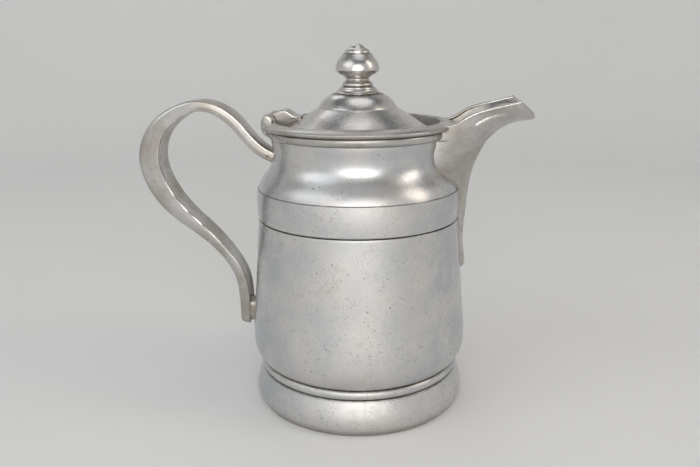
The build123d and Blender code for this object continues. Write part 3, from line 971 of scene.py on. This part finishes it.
def spout_flange():
    """Rounded solder fillet where the spout meets the body, thinning out towards the tail."""
    for name, side in (("near_fillet", -1), ("far_fillet", 1)):
        path = []
        for row in spout_rows(spout_tail + spout_channel, 0.0, 110):
            share = body_share(row)
            if share is not None:
                x, y, z = resampled(row, 2, 0, share)[1]
                if z < mouth_bottom - 2:
                    path.append((x, y * side, z))
        path = resampled(path, 90)
        sizes = [(0.3 + 0.4 * min(1, max(0, (z - 88) / 22))) * min(1, (90 - i) / 8)
                 for i, (x, y, z) in enumerate(path)]
        tube(name, path, sizes, "pot", "silver_cast", flat=0.8)


def body_share(row):
    """Share of a row's length at which it goes into the body, if it starts outside it."""
    points = resampled(row, 300)
    for i, (x, y, z) in enumerate(points):
        if hypot(x, y) < pot_radius(min(z, mouth_height)) + 0.1:
            return None if i == 0 else i / 299
    return None


def tube(name, path, sizes, body, finish, sides=14, flat=1.0):
    """A rounded strip along a path, as thick at each point as its size."""
    points = np.array(path, float)
    rows = []
    for i, point in enumerate(points):
        ahead = points[min(i + 1, len(points) - 1)] - points[max(i - 1, 0)]
        ahead /= np.linalg.norm(ahead)
        out = np.array([point[0], point[1], 0.0])
        side = np.cross(ahead, out / max(np.linalg.norm(out), 0.001))
        side /= np.linalg.norm(side)
        up = np.cross(side, ahead)
        size = sizes[i]
        rows.append([tuple(point + size * (side * cos(a) + up * flat * sin(a)))
                     for a in np.linspace(0, 2 * pi, sides, endpoint=False)])
    return piece(name, *strips(rows, closed_rows=True, caps=True), body, finish)


def spout_bead(side):
    """Round bead along one top edge of the spout."""
    core = spout_rows(spout_channel, spout_wall / 2, 90)
    path = []
    for row in core:
        share = edge_share(row)
        if share is not None:
            x, y, z = resampled(row, 2, 0, share)[1]
            path.append((x, y * side, z))
    return path


def lip_bead():
    """Round bead round the spout's lip, from one top corner by way of the keel to the other."""
    row = spout_rows(spout_channel, spout_wall / 2, 90)[-1]
    half = resampled(row, 40, 0, edge_share(row)) + np.array([-0.585, 0, 0.684])
    half[0][1] = 0.0
    path = np.concatenate([half[::-1], half[1:] * [1, -1, 1]])
    tube("lip_bead", path, [lip_bead_size] * len(path), "pot", "silver_cast")


def edge_share(row):
    """Share of a row's length at which it meets the spout's top edge, if it does."""
    points = resampled(row, 400)
    for i, (x, y, z) in enumerate(points):
        if z > spout_edge_height(x):
            return None if x < bowl_top_radius - 6 or i == 0 else i / 399
    return None


# The handle

handle_base_x = -belly_radius
handle_foot_z = 32.0
handle_groove = 0.6
handle_lip = 1.0
vent_x = -40.0
vent_z = 112.9
vent_radius = 0.8
handle_root = ((-36.6, 109.5), (3.9, 4.6, 5.0))
handle_sections = (
    ((-4.2, 82.1), (4.2, 5.0, 5.3)),
    ((2.3, 88.8), (4.0, 5.0, 5.7)),
    ((8.7, 95.9), (4.1, 4.9, 6.1)),
    ((19.7, 101.0), (3.9, 4.7, 6.4)),
    ((29.8, 97.7), (4.9, 6.3, 6.5)),
    ((37.7, 89.9), (6.5, 8.8, 6.5)),
    ((40.4, 80.0), (8.2, 10.5, 6.5)),
    ((37.5, 68.4), (7.9, 10.2, 6.5)),
    ((31.1, 58.4), (6.2, 8.8, 6.4)),
    ((20.1, 47.3), (3.9, 6.5, 6.2)),
    ((9.8, 35.6), (3.0, 5.4, 5.8)),
    ((3.5, 24.2), (3.8, 5.4, 5.3)),
    ((1.9, 13.0), (4.2, 5.3, 4.8)),
    ((2.3, 0.0), (3.8, 4.6, 4.5)),
)


def handle_profile(flank, crown, half_width):
    """Half of a handle section, from the middle of its grooved side to the middle of its crown."""
    lip = half_width - handle_lip
    half = [(lip * t, handle_groove * (1 - t * t)) for t in np.linspace(0, 1, 7)]
    half += [(half_width - 0.15, 0.0), (half_width, flank * 0.5), (half_width - 0.25, flank)]
    ridge = (half_width - 0.55, flank + 0.45)
    half.append(ridge)
    for t in np.linspace(0.15, 1, 8):
        half.append((ridge[0] * cos(t * pi / 2), ridge[1] + (crown - ridge[1]) * sin(t * pi / 2)))
    return resampled([(x, y, 0) for x, y in softened(half, 0.45)], 48)


def handle():
    knots = [(*handle_root[0], *handle_root[1])]
    knots += [(handle_base_x - out, handle_foot_z + up, *size) for (out, up), size in handle_sections]
    fine = flow(knots, step=0.8)
    rows = []
    for i, (x, z, flank, crown, half_width) in enumerate(fine):
        bx, bz = fine[max(i - 1, 0)][:2]
        ax, az = fine[min(i + 1, len(fine) - 1)][:2]
        length = hypot(ax - bx, az - bz)
        along_x, along_z = (ax - bx) / length, (az - bz) / length
        left = len(fine) - 1 - i
        round_end = min(1.0, 0.72 + 0.28 * sqrt(min(left / 3, 1)))
        half = handle_profile(flank * round_end, crown * round_end, half_width * round_end)
        row = []
        for u, v, _ in half:
            row.append((x + along_z * v, u, z - along_x * v))
        row += [(a, -b, c) for a, b, c in row[-2:0:-1]]
        row = [tuple(Vector(p) + Vector((noise.noise(Vector(p) / 9), 0, noise.noise(Vector(p) / 7))) * 0.07)
               for p in row]
        rows.append(row)
    made = piece("handle_skin", *strips(rows, closed_rows=True, caps=True), "pot", "silver_cast",
                 ["handle"], corner=50)
    ring = oval(vent_x, vent_z, vent_radius * 2, vent_radius * 2, count=24)
    rows = [[(x, y, z) for x, z in ring] for y in (-3.0, -9.0)]
    cut(made, placed("vent_cutter", *strips(rows, closed_rows=True, caps=True)))
    return made


# The hinge

def oval(x, z, wide, high, count=72):
    """A rounded oval in the XZ plane, counter-clockwise."""
    return [(x + wide / 2 * cos(a), z + high / 2 * sin(a))
            for a in np.linspace(0, 2 * pi, count, endpoint=False)]


def even(outline, step=0.3):
    """The same closed outline with points spaced evenly."""
    ring = [(x, y, 0.0) for x, y in outline]
    ring.append(ring[0])
    length = sum(hypot(b[0] - a[0], b[1] - a[1]) for a, b in zip(ring, ring[1:]))
    points = resampled(ring, int(length / step))[:-1]
    return [(float(x), float(y)) for x, y, _ in points]


def hinge():
    for name, side in (("near_ear", -1), ("far_ear", 1)):
        low, high = sorted((side * ear_inner, side * (ear_outer - 0.3)))
        verts, faces = slab(oval(hinge_x, ear_centre, ear_width, ear_height), low, high, 1.3, dome=0.3)
        piece(name, verts, faces, "pot", "silver_cast", ["hinge_bracket"])
    bar_top = hinge_z - knuckle_radius - moving_gap
    bar = softened([(hinge_x - 2.5, mouth_bottom + 0.6), (-mouth_radius + 0.2, mouth_bottom + 0.6),
                    (-mouth_radius + 0.2, bar_top), (hinge_x - 2.5, bar_top)], 0.6, closed=True)
    piece("hinge_bar_skin", *slab(even(bar), -ear_inner - 0.6, ear_inner + 0.6, 0.2), "pot", "silver_cast")

    tip = hinge_x + leaf_length
    crest = hinge_z + knuckle_radius * 1.5
    top = flow([(hinge_x, hinge_z + knuckle_radius), (hinge_x + leaf_length * 0.31, crest),
                (hinge_x + leaf_length * 0.54, crest + 0.1),
                (hinge_x + leaf_length * 0.73, hinge_z + knuckle_radius * 0.9),
                (tip, hinge_z + knuckle_radius * 0.62)], start=(1, 0), step=0.4)
    under = [(tip, hinge_z - knuckle_radius * 0.2), (hinge_x + leaf_length * 0.58, hinge_z - 3.6),
             (hinge_x + leaf_length * 0.32, hinge_z - 3.6)]
    knuckle = [(hinge_x + knuckle_radius * cos(a), hinge_z + knuckle_radius * sin(a))
               for a in np.linspace(-0.35 * pi, -1.45 * pi, 26)]
    outline = joined(top, under, knuckle)[:-1]
    outline = even(softened(outline, 0.7, closed=True))[::-1]
    piece("leaf_skin", *slab(outline, -leaf_half_width, leaf_half_width, 0.9), "lid", "silver_cast",
          ["hinge_leaf"])


# The lid's seat and ring

def lid_seat():
    outer = mouth_radius - wall - solder_gap
    sleeve = outer - seat_thickness
    ledge = lid_radius - seat_width
    top = lid_edge_height - moving_gap
    outline = [(ledge, top - seat_thickness), (outer, top - seat_thickness), (outer, mouth_height),
               (sleeve, mouth_height), (sleeve, top), (ledge, top)]
    made = piece("seat_skin", *turned(even(softened(outline, 0.25, closed=True), 0.4), True, 0.0), "pot",
                 "silver_inside", ["lid_seat"])
    cut(made, trough_cutter(), notch_cutter())


def lid_flange():
    outer = lid_radius - flange_inset
    inner = outer - flange_thickness
    low = lid_edge_height - flange_depth
    outline = [(inner, low), (outer, low), (outer, lid_edge_height), (inner, lid_edge_height)]
    piece("flange_skin", *turned(even(softened(outline, 0.25, closed=True), 0.4), True, 0.0), "lid",
          "silver_inside", ["lid_flange"])


top_edge = flow([(bowl_top_radius + out, rim_top - down) for out, down in spout_top_edge], step=0.4)

foot_ring()
foot_bead()
lower_body()
upper_body()
rim_moulding()
lid_seat()
lid_flange()
lid_dome()
finial_base()
finial_cap()
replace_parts(finial_stud(), "finial_stud")
handle()
hinge()
for bead_name, side in (("near_lip_bead", -1), ("far_lip_bead", 1)):
    path = spout_bead(side)
    tube(bead_name, path, [spout_bead_size] * len(path), "pot", "silver_cast")
lip_bead()
spout_panel()
spout_flange()


# Stage, light and camera

def stage_bowl():
    """A pale floor that curves up into a round wall."""
    outline = straight((0, 0), (700, 0), step=100)
    outline += [(700 + 500 * sin(a), 500 - 500 * cos(a)) for a in np.linspace(0.1, pi / 2, 16)]
    outline += [(1200, 900), (1200, 1400)]
    floor = placed("floor", *turned(outline, False, 0.0, around=96))
    floor.data.shade_smooth()
    s = Shader("floor")
    surface = s.node("ShaderNodeBsdfPrincipled")
    pale = s.mix(s.noise(0.4, detail=2), (0.77, 0.77, 0.77, 1), (0.80, 0.80, 0.79, 1))
    s.feed(surface.inputs["Base Color"], pale)
    surface.inputs["Roughness"].default_value = 0.8
    s.feed(s.output.inputs["Surface"], surface.outputs[0])
    floor.data.materials.append(s.material)


def softbox(name, place, target, width, height, power, colour):
    data = bpy.data.lights.new(name, "AREA")
    data.shape = "ELLIPSE"
    data.size = width
    data.size_y = height
    data.energy = power
    data.color = colour
    lamp = bpy.data.objects.new(name, data)
    lamp.location = place
    lamp.visible_camera = False
    lamp.rotation_euler = (Vector(target) - Vector(place)).to_track_quat("-Z", "Y").to_euler()
    bpy.context.collection.objects.link(lamp)


def studio():
    world = bpy.data.worlds.new("studio")
    bpy.context.scene.world = world
    world.use_nodes = True
    background = world.node_tree.nodes["Background"]
    background.inputs["Color"].default_value = (0.60, 0.61, 0.63, 1)
    background.inputs["Strength"].default_value = 0.25
    softbox("key", (-0.80, -0.65, 0.75), (0, 0, 0.08), 1.0, 1.1, 3.2, (0.95, 0.98, 1.0))
    softbox("front", (0.12, -1.05, 0.42), (0, 0, 0.06), 0.9, 0.6, 5.2, (1.0, 0.98, 0.96))
    softbox("top", (0.1, 0.0, 1.5), (0, 0, 0.1), 1.1, 1.1, 3.0, (1.0, 1.0, 1.0))
    softbox("right", (0.95, -0.15, 0.7), (0, 0, 0.08), 0.4, 0.8, 1.6, (1.0, 0.90, 0.78))
    softbox("back", (-0.3, 0.9, 1.1), (0, 0, 0.08), 0.9, 0.6, 1.4, (0.95, 0.97, 1.0))


def photo_camera():
    data = bpy.data.cameras.new("photo")
    data.sensor_width = 36
    data.lens = 36
    data.clip_start = 0.01
    camera = bpy.data.objects.new("photo", data)
    sight = Vector((-0.1007, 0.9581, -0.2681))
    turn = sight.to_track_quat("-Z", "Y").to_matrix() @ Matrix.Rotation(radians(-0.48), 3, "Z")
    camera.matrix_world = Matrix.Translation((0.02875, -0.30987, 0.16339)) @ turn.to_4x4()
    bpy.context.collection.objects.link(camera)
    bpy.context.scene.camera = camera


stage_bowl()
studio()
photo_camera()
bpy.context.scene.view_settings.view_transform = "Standard"
